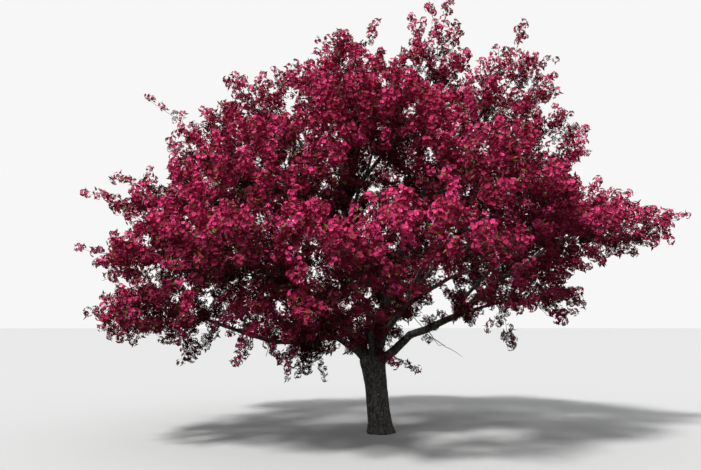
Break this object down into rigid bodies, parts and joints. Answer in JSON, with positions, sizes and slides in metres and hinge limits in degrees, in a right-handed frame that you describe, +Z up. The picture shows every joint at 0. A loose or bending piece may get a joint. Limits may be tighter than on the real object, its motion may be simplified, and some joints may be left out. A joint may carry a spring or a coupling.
{
  "type": "profusion crabapple tree",
  "caption": "Broad, round-headed crabapple tree in full dark pink bloom, on a short trunk that forks low.",
  "frame": {"origin": "middle of the flat cut under the trunk, at ground level", "axes": "+Z up, +X to the right and -Y towards someone who looks at the tree's best side"},
  "size_m": [9.5, 7.8375, 7.02],
  "materials": {
    "bark": "rough grey-brown bark with pale flecks",
    "blossom": "soft petals, dark pink to wine red, with young bronze leaves"
  },
  "bodies": {
    "root": {"trunk": "bark", "bough_back": "bark", "bough_back_left": "bark", "bough_back_right": "bark", "bough_front": "bark", "bough_front_right": "bark", "bough_left": "bark", "bough_left_low": "bark", "bough_right_low": "bark", "bough_right_upper": "bark", "leader": "bark", "branch_back_left_upper": "bark", "branch_back_right_upper": "bark", "branch_front_left": "bark", "branch_front_left_low": "bark", "branch_front_left_upper": "bark", "branch_front_right_upper": "bark", "branch_left_middle": "bark", "branch_left_upper": "bark", "branch_right_low": "bark", "branch_right_middle": "bark", "branch_right_upper": "bark", "branch_top": "bark", "branch_upper_back": "bark", "branch_upper_front": "bark", "branch_upper_left": "bark", "branch_upper_right_front": "bark", "blossom_back_left_low": "blossom", "blossom_back_left_upper": "blossom", "blossom_back_low": "blossom", "blossom_back_right_low": "blossom", "blossom_back_right_upper": "blossom", "blossom_front_left": "blossom", "blossom_front_left_low": "blossom", "blossom_front_left_upper": "blossom", "blossom_front_middle": "blossom", "blossom_front_right": "blossom", "blossom_front_right_upper": "blossom", "blossom_left_low": "blossom", "blossom_left_middle": "blossom", "blossom_left_shoulder": "blossom", "blossom_left_upper": "blossom", "blossom_right_low": "blossom", "blossom_right_middle": "blossom", "blossom_right_shoulder": "blossom", "blossom_right_upper": "blossom", "blossom_top": "blossom", "blossom_top_left": "blossom", "blossom_top_right": "blossom", "blossom_upper_back": "blossom", "blossom_upper_front": "blossom", "blossom_upper_left": "blossom", "blossom_upper_right_front": "blossom"}
  },
  "joints": []
}
